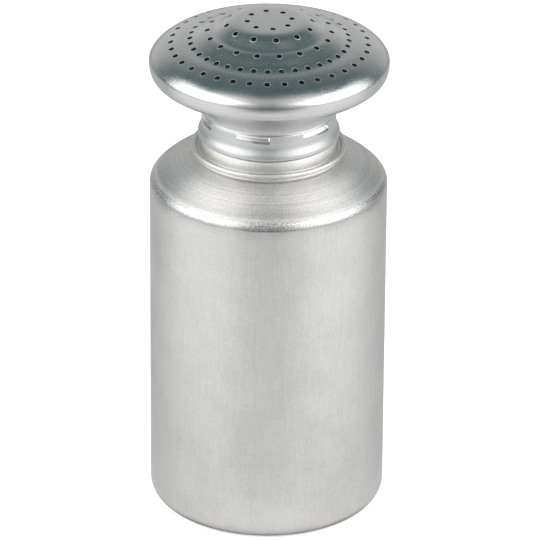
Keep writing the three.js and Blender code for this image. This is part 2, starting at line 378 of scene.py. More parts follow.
def surfaceTree(name):
    made = bpy.data.materials.new(name)
    made.use_nodes = True
    tree = made.node_tree
    return made, tree, tree.nodes["Principled BSDF"]


def groupMasks(tree, finish):
    # what the shared groups put out, by plain names
    grain = placeGroup(tree, wallGrain, Grain=finish["grain"])
    use = placeGroup(tree, handling, Scratches=finish["scratches"])
    masks = {
        "streaks": grain.outputs["Streaks"],
        "speckle": grain.outputs["Speckle"],
        "dents": use.outputs["Dents"],
        "clouds": use.outputs["Clouds"],
        "scratch": use.outputs["Scratch"],
    }
    if "linesPerMm" in finish:
        spun = placeGroup(tree, spunLines, Lines_per_mm=finish["linesPerMm"])
        masks["rings"] = spun.outputs["Fine"]
        masks["bands"] = spun.outputs["Broad"]
    return masks


def attributeMask(tree, name):
    node = tree.nodes.new("ShaderNodeAttribute")
    node.attribute_name = name
    return node.outputs["Fac"]


def mixColours(tree, share, low, high):
    # low and high are plain colours or sockets; a Mix node has its colours in sockets 6 and 7
    node = tree.nodes.new("ShaderNodeMix")
    node.data_type = "RGBA"
    tree.links.new(share, node.inputs["Factor"])
    for socket, colour in ((node.inputs[6], low), (node.inputs[7], high)):
        if isinstance(colour, tuple):
            socket.default_value = (*colour, 1)
        else:
            tree.links.new(colour, socket)
    return node.outputs[2]


def addBump(tree, shader, height, distance, strength=1.0):
    node = tree.nodes.new("ShaderNodeBump")
    node.inputs["Strength"].default_value = strength
    node.inputs["Distance"].default_value = distance
    tree.links.new(height, node.inputs["Height"])
    tree.links.new(node.outputs["Normal"], shader.inputs["Normal"])


def brushAlong(tree, shader, pull):
    # the spinning tool's rings run round the axis, so reflections stretch across them
    quarterTurn = 0.25
    rings = tree.nodes.new("ShaderNodeTangent")
    rings.direction_type = "RADIAL"
    rings.axis = "Z"
    tree.links.new(rings.outputs["Tangent"], shader.inputs["Tangent"])
    tree.links.new(pull, shader.inputs["Anisotropic"])
    shader.inputs["Anisotropic Rotation"].default_value = quarterTurn


def paint(tree, shader, finish, masks):
    # colour and roughness are each a base plus the masks times their weights
    tone = weigh(tree, masks, finish["tone"], finish["baseTone"])
    colour = mixColours(tree, tone, finish["dark"], finish["light"])
    tree.links.new(colour, shader.inputs["Base Color"])
    roughness = weigh(tree, masks, finish["roughness"], finish["baseRoughness"])
    tree.links.new(roughness, shader.inputs["Roughness"])
    return colour


def paintMetal(tree, shader, finish, masks):
    colour = paint(tree, shader, finish, masks)
    shader.inputs["Metallic"].default_value = 1.0
    addBump(tree, shader, weigh(tree, masks, finish["height"]), bumpDepth * mm)
    return colour


canisterFinish = {
    "linesPerMm": 2.4,
    "grain": 2400.0,  # specks per metre
    "scratches": 0.6,
    "dark": (0.388, 0.38, 0.369),
    "light": (0.95, 0.931, 0.90),
    "baseTone": 0.165,
    # in the tone, the negative edge weight paints the rounded edge darker, painted shade, and the weight
    # on the seat and neck paints them lighter, painted light
    "tone": {"speckle": 0.20, "sparkle": 0.38, "rings": 0.32, "upright": 0.076, "clouds": 0.09,
             "turned": 0.035, "edge": -0.45, "paintedLight": 0.34},
    "baseRoughness": 0.33,  # of the wall: the turned metal has 0.56 and the edge 0.13
    "roughness": {"turned": 0.23, "edge": -0.43, "clouds": 0.06, "bands": -0.05, "sparkle": 0.16,
                  "scratch": -0.08},
    "height": {"dents": 1.6, "speckle": 0.03, "sparkle": 0.07, "upright": 0.012, "rings": 0.06,
               "bands": 0.05, "scratch": -0.02},
    "spunPull": 0.88,
}


def canisterMaterial():
    made, tree, shader = surfaceTree("satin_canister")
    masks = groupMasks(tree, canisterFinish)
    turned = attributeMask(tree, "turned")  # 0 on the wall, up to 1 on the shoulder, less on the neck
    edge = attributeMask(tree, "edge")  # 1 where the shoulder turns over into the wall; there the metal is smoother and painted darker, painted shade
    wall = mathOf(tree, "SUBTRACT", 1.0, turned)
    masks["rings"] = mathOf(tree, "MULTIPLY", masks["rings"], turned)
    masks["bands"] = mathOf(tree, "MULTIPLY", masks["bands"], turned)
    masks["upright"] = mathOf(tree, "MULTIPLY", masks["streaks"], wall)
    masks["sparkle"] = mathOf(tree, "MULTIPLY", masks["speckle"], turned)
    masks["turned"] = turned
    masks["edge"] = edge
    masks["paintedLight"] = attributeMask(tree, "paintedLight")  # 1 on the seat and the neck, painted lighter there: painted light against the shade under the collar's lip
    paintMetal(tree, shader, canisterFinish, masks)
    brushed = mathOf(tree, "SUBTRACT", turned, edge, clamp=True)
    brushAlong(tree, shader, mathOf(tree, "MULTIPLY", brushed, canisterFinish["spunPull"]))
    return made


collarFinish = {
    "linesPerMm": 3.0,
    "grain": 3200.0,
    "scratches": 0.5,
    "dark": (0.455, 0.458, 0.455),
    "light": (0.93, 0.93, 0.92),
    "baseTone": 0.0,
    # the lug faces and the ledge line are painted lighter in the tone, a painted highlight; their lower
    # roughness is polish
    "tone": {"speckle": 0.168, "rings": 0.135, "clouds": 0.067, "paintedLight": 0.8},
    "baseRoughness": 0.37,
    "roughness": {"clouds": 0.06, "bands": 0.05, "paintedLight": -0.14},
    "height": {"dents": 0.9, "grit": 0.06, "rings": 0.03, "bands": 0.03},
}


def collarMaterial():
    made, tree, shader = surfaceTree("spun_collar")
    masks = groupMasks(tree, collarFinish)
    paintedLight = attributeMask(tree, "paintedLight")  # 1 on the pressed face of a lug, and less along the ledge: a painted highlight there, with smoother, polished metal
    plain = mathOf(tree, "SUBTRACT", 1.0, paintedLight)
    masks["paintedLight"] = paintedLight
    masks["grit"] = mathOf(tree, "MULTIPLY", masks["speckle"], plain)
    paintMetal(tree, shader, collarFinish, masks)
    return made


roseFinish = {
    "linesPerMm": 2.6,
    "grain": 3000.0,
    "scratches": 0.5,
    "rubWidth": 0.13,
    "dark": (0.50, 0.50, 0.495),
    "light": (0.64, 0.64, 0.63),
    # the hole edges are painted lighter than the skin: a painted highlight on the rims
    "burr": (0.90, 0.90, 0.90),
    "baseTone": -0.4,
    "tone": {"speckle": 0.7, "rings": 0.3, "clouds": 0.3},
    "baseRoughness": 0.085,
    "roughness": {"clouds": 0.06, "bands": 0.04, "burr": 0.24, "speckle": 0.13, "scratch": 0.15,
                  "mark": 0.12},
    "height": {"dents": 0.6, "speckle": 0.034, "rings": 0.006, "bands": 0.015, "scratch": -0.02,
               "mark": -0.04},
}


def roseMaterial():
    made, tree, shader = surfaceTree("polished_rose")
    masks = groupMasks(tree, roseFinish)
    masks["burr"] = attributeMask(tree, "burr")  # up to 1 on the turned-up edge of a hole, which is painted lighter, a painted highlight, and is rougher
    masks["mark"] = placeGroup(tree, rubMarks, Width=roseFinish["rubWidth"]).outputs["Mark"]
    skin = paintMetal(tree, shader, roseFinish, masks)
    # a painted highlight on the hole edges
    paintedHighlight = mixColours(tree, masks["burr"], skin, roseFinish["burr"])
    tree.links.new(paintedHighlight, shader.inputs["Base Color"])
    return made


washerFinish = {
    "grain": 1800.0,
    "scratches": 0.0,
    "dark": (0.62, 0.60, 0.54),
    "light": (0.80, 0.78, 0.72),
    "baseTone": 0.0,
    "tone": {"speckle": 0.3, "clouds": 0.6},
    "baseRoughness": 0.55,
    "roughness": {"clouds": 0.12},
    "bumpDepth": 0.02,
    "bumpStrength": 0.6,
}


def washerMaterial():
    made, tree, shader = surfaceTree("silicone_washer")
    masks = groupMasks(tree, washerFinish)
    paint(tree, shader, washerFinish, masks)
    addBump(tree, shader, masks["speckle"], washerFinish["bumpDepth"] * mm, washerFinish["bumpStrength"])
    return made


def dress(obj, made, body, node):
    obj.data.materials.clear()
    obj.data.materials.append(made)
    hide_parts(node)
    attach(obj, body)
    print("piece made:", obj.name, len(obj.data.polygons), "faces")


def setMask(obj, name, values):
    mask = obj.data.attributes.new(name, "FLOAT", "POINT")
    mask.data.foreach_set("value", np.asarray(values, dtype=np.float32))


# Canister: wall, shoulder, rings at the foot of the neck, seat, neck with its lugs

canister = {
    "radius": canisterHigh.x / mm,
    "floor": 1.2,
    "baseCorner": 4.8,
    "edgeHeight": 118.2,
    "edgeRound": 1.3,
    "edgeBandWidth": 1.8,
    "shoulderRise": 9.1,
    "edgeShareIn": 0.20,
    "edgeShareUp": 0.37,
    "footShareOut": 0.47,
    "footShareDown": 0.13,
    "seatWidth": 2.9,
    "seatBand": 3.2,
    "seatRound": 0.5,
    "troughWidth": 1.4,
    "troughDepth": 1.3,
    "beadSection": 0.95,
    "ringInset": 2.1,
    "ringHeight": 1.85,
    "ringBulge": 1.1,
    "ringLegLow": 1.25,
    "ringLegHigh": 0.9,
    "ringLegUp": 0.2,
    "neckRadius": 20.0,
    "lugProud": 0.45,
    "lugHeight": 1.5,
    "lugAngle": 20.0,
    "lugSlant": 1.6,
    "columns": 288,
    "edgeReach": 6.0,  # how far in from the wall the edge band goes, smooth and painted darker
    "shoulderSpunAndShade": [(27, 0.65), (36, 1.0)],  # radius, and how spun the metal looks there; the fall towards the neck also darkens the tone there, painted shade
    "neckSpun": 0.3,
    "neckSpunFrom": 0.5,  # height over the neck's foot
    "paintedLightFrom": 1.0,  # the same, for the painted light on the seat and neck
    "paintedLightMargin": 0.05,
}

# the collar's lugs; the neck's lugs stand over their middles
lugs = {"count": 6, "angle": 31.0, "endAzimuth": 1.0}


def lugMask(azimuths, start, end, startSlant, endSlant):
    # 1 over each lug, with a slanted end on either side
    period = 360 / lugs["count"]
    local = (azimuths - start) % period
    width = end - start
    rising = np.clip(local / startSlant, 0, 1)
    falling = np.clip((width - local) / endSlant, 0, 1)
    mask = np.minimum(rising, falling)
    return np.where(local <= width, mask * mask * (3 - 2 * mask), 0)


def canisterSection():
    c = canister
    sheet = sheetThickness
    apart = 0.5  # from a rounded corner to the next row
    cutCorner = 0.25  # across the corner between the seat and the neck
    wall = c["radius"]
    neck = c["neckRadius"]
    edgeFoot = c["edgeHeight"] - c["edgeRound"]
    neckFoot = c["edgeHeight"] + c["shoulderRise"]
    seatRadius = neck + c["seatWidth"]
    beadCentre = seatRadius + c["troughWidth"] + c["beadSection"]
    beadHeight = neckFoot + c["ringHeight"] + c["beadSection"]
    beadTop = beadHeight + c["beadSection"]
    seatHeight = beadTop + c["seatBand"]
    mouthHeight = canisterHigh.z / mm
    footRadius = beadCentre + c["beadSection"] - c["ringInset"]
    width = wall - footRadius
    shoulder = bentLine(
        (wall, c["edgeHeight"]),
        (wall - c["edgeShareIn"] * width, c["edgeHeight"] + c["edgeShareUp"] * c["shoulderRise"]),
        (footRadius + c["footShareOut"] * width, neckFoot - c["footShareDown"] * c["shoulderRise"]),
        (footRadius, neckFoot), 48)
    turn = 6  # rows of the shoulder that the rounded edge takes up
    edge = roundedCorner((wall, edgeFoot), shoulder[0], shoulder[turn], 8)
    crease = -90 - math.degrees(math.asin(c["ringBulge"] / 2 / c["beadSection"])) / 2
    bead = arcLine(beadCentre, beadHeight, c["beadSection"], crease, 180, 28)
    legUp = c["ringHeight"] * c["ringLegUp"]
    ring = bentLine(
        (footRadius, neckFoot),
        (footRadius + c["ringBulge"] * c["ringLegLow"], neckFoot + legUp),
        (bead[0][0] + c["ringBulge"] * c["ringLegHigh"], bead[0][1] - legUp),
        bead[0], 12)
    half = c["troughWidth"] / 2
    troughCentre = beadTop - c["troughDepth"] + half
    seatRound = c["seatRound"]
    rim = sheet / 2
    neckTop = mouthHeight - rim
    corner = c["baseCorner"]
    outer = np.vstack([
        straightLine((0, 0), (wall - corner - apart, 0), 6),
        arcLine(wall - corner, corner, corner, -90, 0, 12),
        straightLine((wall, corner + apart), (wall, edgeFoot - apart), 40),
        edge,
        shoulder[turn + 1:],
        ring[1:],
        bead[1:],
        arcLine(seatRadius + half, troughCentre, half, 0, -180, 12),
        arcLine(seatRadius - seatRound, seatHeight - seatRound, seatRound, 0, 90, 6),
        straightLine((neck + cutCorner, seatHeight), (neck, seatHeight + cutCorner), 1),
        straightLine((neck, seatHeight + 0.6), (neck, neckTop - 0.1), 60),
        arcLine(neck - rim, neckTop, rim, 0, 180, 12),
    ])
    bore = besideLine(shoulder, sheet)
    bore = bore[bore[:, 0] < wall - sheet]
    innerCorner = corner - sheet
    innerSeat = seatRadius - sheet
    ceiling = seatHeight - 2 * sheet
    inside = np.vstack([
        straightLine((neck - sheet, neckTop - 0.1), (neck - sheet, seatHeight), 8),
        [(neck - sheet, seatHeight - sheet)],
        [(innerSeat, ceiling)],
        straightLine((innerSeat, ceiling - 0.4), (innerSeat, neckFoot), 4),
        bore[::-1],
        straightLine((wall - sheet, edgeFoot), (wall - sheet, c["floor"] + innerCorner + apart), 20),
        arcLine(wall - sheet - innerCorner, c["floor"] + innerCorner, innerCorner, 0, -90, 8),
        [(0, c["floor"])],
    ])
    return tidyRows(np.vstack([outer, inside]))


def canisterPress(azimuths, radius, height):
    # the neck's lugs, only on its outer face
    c = canister
    onFace = 1e-3
    foot = collarLow.z / mm + collar["ledgeHeight"] + seatGap
    top = foot + c["lugHeight"]
    if abs(radius - c["neckRadius"]) > onFace or not foot < height < top:
        return 0
    middle = lugs["endAzimuth"] - lugs["angle"] / 2
    ramp = min(height - foot, top - height) / c["lugProud"]
    start, end = middle - c["lugAngle"] / 2, middle + c["lugAngle"] / 2
    mask = lugMask(azimuths, start, end, c["lugSlant"], c["lugSlant"])
    return c["lugProud"] * min(1, ramp) * mask


def makeCanister():
    c = canister
    vertices, faces = turnedGrid(canisterSection(), c["columns"], press=canisterPress, closed=False)
    obj = meshObject("canister_shell", vertices, faces)
    places = np.array(vertices) / mm
    radius, height = np.hypot(places[:, 0], places[:, 1]), places[:, 2]
    neckFoot = c["edgeHeight"] + c["shoulderRise"]
    seatRadius = c["neckRadius"] + c["seatWidth"]
    onWall = (height < c["edgeHeight"] - c["edgeRound"] / 2) & (radius > c["radius"] - c["baseCorner"])
    # the turned mask falls towards the neck, which also makes the tone darker there: painted shade
    spunRadii, spunShares = zip(*c["shoulderSpunAndShade"])
    spun = np.interp(radius, spunRadii, spunShares)
    spun = np.where(height > neckFoot + c["neckSpunFrom"], c["neckSpun"], spun)
    setMask(obj, "turned", np.where(onWall, 0.0, spun))
    # the edge band, smoother and painted darker: painted shade where the shoulder turns over into the wall
    band = np.exp(-((height - c["edgeHeight"]) / c["edgeBandWidth"]) ** 4)  # flat-topped
    setMask(obj, "edge", np.where(radius > c["radius"] - c["edgeReach"], band, 0.0))
    # painted light: the seat and the neck are painted lighter against the shade under the collar's lip
    paintedLight = (radius < seatRadius + c["paintedLightMargin"]) & (height > neckFoot + c["paintedLightFrom"])
    setMask(obj, "paintedLight", np.where(paintedLight, 1.0, 0.0))
    dress(obj, canisterMaterial(), "canister", "canister")


# Rose: the perforated dome, rolled over at the rim and hemmed under it

rose = {
    "hemRadius": 29.8,
    "rimRadius": roseHigh.x / mm,
    "rimHeight": 9.35,
    "rimLegUp": 2.0,
    "rimLegDown": 6.4,
    "hemShareOut": 0.69,
    "hemLegUp": 4.0,
    "brimInset": 7.2,
    "brimHeight": 15.25,
    "brimShareOut": 0.555,
    "brimLegDown": 1.25,
    "foldReach": 1.35,
    "foldWidth": 0.24,
    "foldDepth": 0.16,
    "crownHeight": (roseHigh.z - roseLow.z) / mm,
    # how steeply the dome falls outwards: flat plateau, step, narrow land, long step, flatter brim
    "slopes": [(0, 0), (8, 0.6), (9.5, 1.8), (10.5, 3.2), (11.25, 5.2), (12, 8.5), (12.75, 13),
               (13.5, 19.5), (14.25, 26), (15, 30), (16.5, 31), (17.5, 29), (18.2, 22), (18.9, 12.5),
               (19.5, 8), (20.2, 11.5), (21, 20), (22, 26), (23.5, 28.5), (25, 28), (26, 24),
               (26.7, 16), (27.4, 9.5), (28.4, 8), (29.5, 9), (30.5, 12), (31.5, 16), (32.3, 18),
               (33, 18)],
    "hemSteps": 60,
    "columns": 240,
}

holes = {
    "radius": 1.02,
    "azimuth": 8.8,
    "rings": [(7.5, 8), (14.4, 12), (20.7, 18), (26.5, 36), (32.9, 36)],
    "sides": 24,
    "cutBelow": 3.0,
    "cutAbove": 2.0,
    "lipRise": 0.027,
    "lipReach": 0.34,
}


def hemLine(height):
    r = rose
    return bentLine(
        (r["hemRadius"], height),
        (r["hemRadius"] + r["hemShareOut"] * (r["rimRadius"] - r["hemRadius"]), height + r["hemLegUp"]),
        (r["rimRadius"], height + r["rimHeight"] - r["rimLegDown"]),
        (r["rimRadius"], height + r["rimHeight"]), r["hemSteps"])


def domeLine():
    # above the rim, from the widest line to the crown
    r = rose
    brimRadius = r["rimRadius"] - r["brimInset"]
    brim = bentLine(
        (r["rimRadius"], r["rimHeight"]),
        (r["rimRadius"], r["rimHeight"] + r["rimLegUp"]),
        (brimRadius + r["brimShareOut"] * r["brimInset"], r["brimHeight"] - r["brimLegDown"]),
        (brimRadius, r["brimHeight"]), 24)
    radii = np.linspace(0, brimRadius, 100)
    knots = np.array(r["slopes"], float)
    fall = np.tan(np.radians(np.interp(radii, knots[:, 0], knots[:, 1])))
    drop = np.concatenate([[0], np.cumsum(fall[1:] + fall[:-1])])
    heights = r["crownHeight"] - drop / drop[-1] * (r["crownHeight"] - r["brimHeight"])
    return np.vstack([brim, np.column_stack([radii, heights])[-2::-1]])


def skinHeight(radius):
    line = domeLine()[::-1]
    return np.interp(radius, line[:, 0], line[:, 1])


def roseSection():
    hem = hemLine(0)
    inner = besideLine(np.vstack([hem, domeLine()[1:]]), sheetThickness)
    # a fold line runs round the rim just above the edge of the hem
    walked = np.concatenate([[0], np.cumsum(np.linalg.norm(np.diff(hem, axis=0), axis=1))])
    fold = np.exp(-((walked - rose["foldReach"]) / rose["foldWidth"]) ** 2)[:, None]
    sides = besideLine(hem, rose["foldDepth"])
    outer = np.vstack([hem + fold * (sides - hem), domeLine()[1:]])
    inner = np.vstack([inner[:-1:3], inner[-1:]])  # the inside needs only every third row
    inner[-1, 0] = 0
    # the hem's cut edge is rounded
    first, last = outer[0], inner[0]
    middle, across = (first + last) / 2, (first - last) / 2
    back = np.array([across[1], -across[0]])
    if np.dot(back, outer[1] - outer[0]) > 0:
        back = -back
    turns = np.linspace(math.pi, 0, 9)[1:-1]
    shift = np.linalg.norm(across) * (outer[1] - outer[0]) / np.linalg.norm(outer[1] - outer[0])
    edge = [middle + across * math.cos(a) + back * math.sin(a) + shift for a in turns]
    return tidyRows(np.vstack([inner[:0:-1], [last + shift], edge, [first + shift], outer[2:]]))


def holeSpots():
    for ringRadius, count in holes["rings"]:
        for k in range(count):
            yield ringRadius, math.radians(holes["azimuth"] + k * 360 / count - 90)


def holeFrame(ringRadius, angle):
    step = 0.05
    slope = (skinHeight(ringRadius + step) - skinHeight(ringRadius - step)) / (2 * step)
    outwards = np.array([math.cos(angle), math.sin(angle), 0])
    down = outwards + np.array([0, 0, slope])
    down /= np.linalg.norm(down)
    sideways = np.array([-math.sin(angle), math.cos(angle), 0])
    up = np.cross(down, sideways)
    centre = outwards * ringRadius + np.array([0, 0, skinHeight(ringRadius)])
    return centre, down, sideways, up


def holeCutter(footHeight):
    vertices, faces = [], []
    sides = holes["sides"]
    for ringRadius, angle in holeSpots():
        centre, down, sideways, up = holeFrame(ringRadius, angle)
        first = len(vertices)
        for reach in (-holes["cutBelow"], holes["cutAbove"]):
            for k in range(sides):
                a = 2 * math.pi * k / sides
                around = math.cos(a) * down + math.sin(a) * sideways
                spot = centre + holes["radius"] * around + reach * up
                vertices.append((spot + np.array([0, 0, footHeight])) * mm)
        faces.extend(prismFaces(first, sides))
    return meshObject("hole_cutter", vertices, faces)


def burrRings(footHeight):
    # the edge of each punched hole stands up a little and is rounded by polishing
    r, rise, reach = holes["radius"], holes["lipRise"], holes["lipReach"]
    wall = r - 0.02
    # distance from the hole's centre, lift over the dome, and how much painted highlight the metal gets
    profile = [
        (wall, -0.3, 0.4),
        (wall, rise * 0.5, 0.7),
        (r + reach * 0.08, rise * 0.9, 0.8),
        (r + reach * 0.25, rise, 0.8),
        (r + reach * 0.45, rise * 0.8, 0.6),
        (r + reach * 0.7, rise * 0.25, 0.2),
        (r + reach, -0.03, 0.0),
    ]
    vertices, faces, masks = [], [], []
    sides = holes["sides"]
    for ringRadius, angle in holeSpots():
        centre, down, sideways, up = holeFrame(ringRadius, angle)
        first = len(vertices)
        for distance, lift, paintedHighlight in profile:
            for k in range(sides):
                a = 2 * math.pi * k / sides
                spot = centre + distance * (math.cos(a) * down + math.sin(a) * sideways)
                spot[2] = skinHeight(math.hypot(spot[0], spot[1]))
                vertices.append((spot + lift * up + np.array([0, 0, footHeight])) * mm)
                masks.append(paintedHighlight)
        for n in range(len(profile) - 1):
            for k in range(sides):
                m = (k + 1) % sides
                a, b = first + n * sides, first + (n + 1) * sides
                faces.append([b + k, b + m, a + m, a + k])
    return vertices, faces, masks


def makeRose():
    foot = roseLow.z / mm
    vertices, faces = turnedGrid(roseSection(), rose["columns"], footHeight=foot, closed=False)
    obj = meshObject("rose_dome", vertices, faces)
    carve(obj, holeCutter(foot))
    print("holes cut")
    ringVertices, ringFaces, masks = burrRings(foot)
    skin = obj.data
    base = len(skin.vertices)
    allVertices = [tuple(v.co) for v in skin.vertices] + [tuple(v) for v in ringVertices]
    allFaces = [tuple(p.vertices) for p in skin.polygons] + [tuple(base + i for i in f) for f in ringFaces]
    bpy.data.objects.remove(obj)
    obj = meshObject("rose_dome", allVertices, allFaces)
    setMask(obj, "burr", [0.0] * base + masks)
    dress(obj, roseMaterial(), "head", "rose")


# Collar: lip, skirt with six lugs, ledge, funnel and the flange under the hem

collar = {
    "skirt": 22.6,
    "lip": 23.85,
    "lipHeight": 0.8,
    "lipTuck": 0.55,
    "flareHeight": 4.7,
    "ledgeHeight": 8.7,
    "ledgeDepth": 0.45,
    "ledgeRound": 0.32,
    "funnelLegUp": 3.1,
    "funnelLegIn": 3.8,
    "pocketHeight": 1.5,
    "pocketDepth": 1.08,
    "pocketRoof": 0.15,
    "slotDrop": 0.2,
    "slotHeight": 0.85,
    "slotDepth": 0.7,
    "slotLength": 6.6,
    "slotTaper": 0.6,  # how much shallower the thin end is
    "slotClear": 1.5,  # how far the cutter stands out in front
    "startSlant": 1.8,
    "endSlant": 0.9,
    "flangeRows": 10,
    "columns": 720,
    "ledgePaintedLight": 0.7,
    "ledgeBand": 0.36,  # half as high as the painted highlight along the ledge
}


def collarOuterLine():
    c = collar
    skirt = c["skirt"]
    ledge = skirt - c["ledgeDepth"]
    waist = (c["lipHeight"] + c["flareHeight"]) / 2
    roof = c["ledgeHeight"] - c["pocketRoof"]
    floor = roof - c["pocketHeight"]
    bend = roof + c["ledgeRound"]
    ledgeTop = roof + 2 * c["ledgeRound"]
    hemSeat = (roseLow.z - collarLow.z) / mm
    flange = besideLine(hemLine(hemSeat), sheetThickness + seatGap)
    start = flange[0]
    leg = flange[1] - flange[0]
    leg = leg / np.linalg.norm(leg) * c["funnelLegIn"]
    turns = np.radians(np.linspace(-90, 0, 9))
    lip = np.column_stack([c["lip"] - c["lipTuck"] + c["lipTuck"] * np.cos(turns),
                           c["lipHeight"] * (1 + np.sin(turns))])
    flare = bentLine((c["lip"], c["lipHeight"]), (c["lip"], waist),
                     (skirt, waist), (skirt, c["flareHeight"]), 18)
    # small steps keep the rows of one run clear of the next
    return np.vstack([
        lip,
        flare[1:],
        straightLine((skirt, c["flareHeight"] + 0.3), (skirt, floor), 6),
        straightLine((skirt, floor + 0.1), (skirt, roof - 0.05), 12),
        [(skirt, roof)],
        bentLine((skirt, roof + 0.04), (skirt, bend), (ledge, bend), (ledge, ledgeTop), 8),
        bentLine((ledge, ledgeTop + 0.1), (ledge, c["ledgeHeight"] + c["funnelLegUp"]),
                 start - leg, start, 26),
        flange[1:c["flangeRows"] + 1],
    ])


def collarPress(azimuths, radius, height):
    # each lug's sloping face, pressed in under the ledge
    c = collar
    onFace = 0.01
    roof = c["ledgeHeight"] - c["pocketRoof"]
    floor = roof - c["pocketHeight"]
    outside = radius > c["skirt"] - onFace
    inside = abs(radius - (c["skirt"] - sheetThickness)) < 2 * onFace
    top = roof - 2 * onFace if outside else c["ledgeHeight"]
    if not (outside or inside) or not floor <= height <= top:
        return 0
    end = lugs["endAzimuth"]
    mask = lugMask(azimuths, end - lugs["angle"], end, c["startSlant"], c["endSlant"])
    share = min(1, (height - floor) / (roof - c["pocketRoof"] - floor))
    return -c["pocketDepth"] * share * mask


def slotCutter(footHeight):
    # a window under the right-hand half of each lug, which tapers to the left
    c = collar
    top = c["ledgeHeight"] - c["pocketRoof"] - c["pocketHeight"] - c["slotDrop"]
    low = top - c["slotHeight"]
    length = c["slotLength"]
    # along the floor from the thin left end, up the right end and back along the roof
    outline = [
        (-length, top - 0.12),
        (-length * 0.75, low + 0.14),
        (-length * 0.35, low + 0.04),
        (-0.2, low),
        (0, low + 0.2),
        (0, top),
        (-length * 0.33, top),
        (-length * 0.66, top),
        (-length, top),
    ]
    vertices, faces = [], []
    for k in range(lugs["count"]):
        azimuth = math.radians(lugs["endAzimuth"] + k * 360 / lugs["count"])
        first = len(vertices)
        for depth, taper in ((c["slotDepth"], c["slotTaper"]), (-c["slotClear"], 0)):
            for x, z in outline:
                reach = c["skirt"] - depth * (1 + taper * x / length)
                turn = azimuth + x / c["skirt"]
                spot = (reach * math.sin(turn), -reach * math.cos(turn), z + footHeight)
                vertices.append([value * mm for value in spot])
        faces.extend(prismFaces(first, len(outline)))
    return meshObject("slot_cutter", vertices, faces)


def makeCollar():
    c = collar
    foot = collarLow.z / mm
    outer = tidyRows(collarOuterLine())
    inner = besideLine(outer, sheetThickness)
    # the inside of the skirt is straight, so that the lugs press it in evenly
    onSkirt = (outer[:, 1] > c["flareHeight"]) & (outer[:, 1] < c["ledgeHeight"])
    inner[:, 0] = np.where(onSkirt, c["skirt"] - sheetThickness, inner[:, 0])
    section = np.vstack([outer, inner[::-1]])
    vertices, faces = turnedGrid(section, c["columns"], footHeight=foot, press=collarPress)
    obj = meshObject("collar_skirt", vertices, faces)
    carve(obj, slotCutter(foot))
    margin = 0.02
    places = np.array([v.co for v in obj.data.vertices]) / mm
    radius, height = np.hypot(places[:, 0], places[:, 1]), places[:, 2] - foot
    roof = c["ledgeHeight"] - c["pocketRoof"]
    pressed = (radius < c["skirt"] - 2 * margin) & (height < roof) & (height > roof - c["pocketHeight"])
    nearLedge = np.abs(height - roof - c["ledgeRound"]) < c["ledgeBand"]
    onLedge = (radius > c["skirt"] - c["ledgeDepth"] - margin) & nearLedge
    # a painted highlight on the pressed lug faces, and a weaker one along the ledge
    setMask(obj, "paintedLight", np.where(pressed, 1.0, np.where(onLedge, c["ledgePaintedLight"], 0.0)))
    dress(obj, collarMaterial(), "head", "collar")


# Sealing washer

washer = {"boreClear": 0.4, "edgeRound": 0.2, "columns": 144}


def makeWasher():
    edge = washerHigh.x / mm
    thickness = (washerHigh.z - washerLow.z) / mm
    bore = canister["neckRadius"] - sheetThickness - washer["boreClear"]
    soft = washer["edgeRound"]
    section = np.vstack([
        arcLine(edge - soft, soft, soft, -90, 0, 5),
        arcLine(edge - soft, thickness - soft, soft, 0, 90, 5),
        arcLine(bore + soft, thickness - soft, soft, 90, 180, 5),
        arcLine(bore + soft, soft, soft, 180, 270, 5),
    ])
    vertices, faces = turnedGrid(section, washer["columns"], footHeight=washerLow.z / mm)
    obj = meshObject("washer_ring", vertices, faces)
    dress(obj, washerMaterial(), "washer", "sealing_washer")


makeCanister()
makeCollar()
makeRose()
makeWasher()


# Floor, light and camera; lengths are metres here

studio = {
    "floorSize": 8.0,
    "floorWhite": 0.86,
    "floorGlow": 0.24,
    "floorGlowSeen": 0.3,
    "floorRoughness": 0.9,
    "floorSpecular": 0.1,
    "boxDistance": 0.9,
    "boxTarget": 0.09,
    "boxAzimuth": 71.0,
    "boxElevation": {"softbox_left": 32.0, "softbox_right": 30.0},
    "boxWidth": 1.15,
    "boxHeight": 0.84,
    "boxPower": 5.6,
    # how bright the room is on each side, by the sine of the height above the horizon
    "front": [(0.0, 0.22), (0.26, 0.27), (0.42, 0.40), (0.57, 0.48), (0.74, 0.58), (0.86, 0.70),
              (0.95, 0.62), (0.98, 0.34), (1.0, 0.17)],
    "aside": [(0.0, 0.60), (0.26, 0.85), (0.55, 0.95), (0.74, 1.05), (0.86, 1.30), (0.95, 0.95),
              (0.98, 0.30), (1.0, 0.17)],
    "side": [(0.0, 0.24), (0.3, 0.20), (0.6, 0.18), (0.84, 0.225), (0.93, 0.205), (1.0, 0.17)],
    "behind": [(0.0, 0.78), (0.26, 0.73), (0.42, 0.69), (0.57, 0.56), (0.68, 0.42), (0.77, 0.29),
               (0.87, 0.27), (0.95, 0.21), (1.0, 0.18)],
    # where one side goes over into the next: by how far a direction points sideways, then backwards
    "frontToAside": (0.08, 0.40),
    "frontToSide": (-0.22, 0.14),
    "sideToBehind": (0.45, 0.95),
    "tint": (-0.10, 0.0, 0.02),
}

# painted shade and painted shadows on the floor: where it gets darker, forwards, backwards or outwards
# from the axis, and how much; only light and reflections see it
paintedFloorShade = {
    "nearest": 0.01,
    "wedge": (0.20, 0.85),  # the zone in front of the shaker: sideways over forwards
    "shadow": (0.26, 0.33),
    "shadowDepth": 0.72,
    "foot": (0.04, 0.09),
    "footEnd": (0.14, 0.24),
    "footDepth": 0.24,
    "behind": (-0.03, 0.15),
    "behindDepth": 0.40,
    "ring": (0.08, 0.20),
    "ringDepth": 0.14,
    # a painted contact shadow round the foot and under it
    "contact": (0.041, 0.054),
    "contactShare": 0.5,
    "beneath": (0.0385, 0.0415),
    "beneathDepth": 0.5,
}


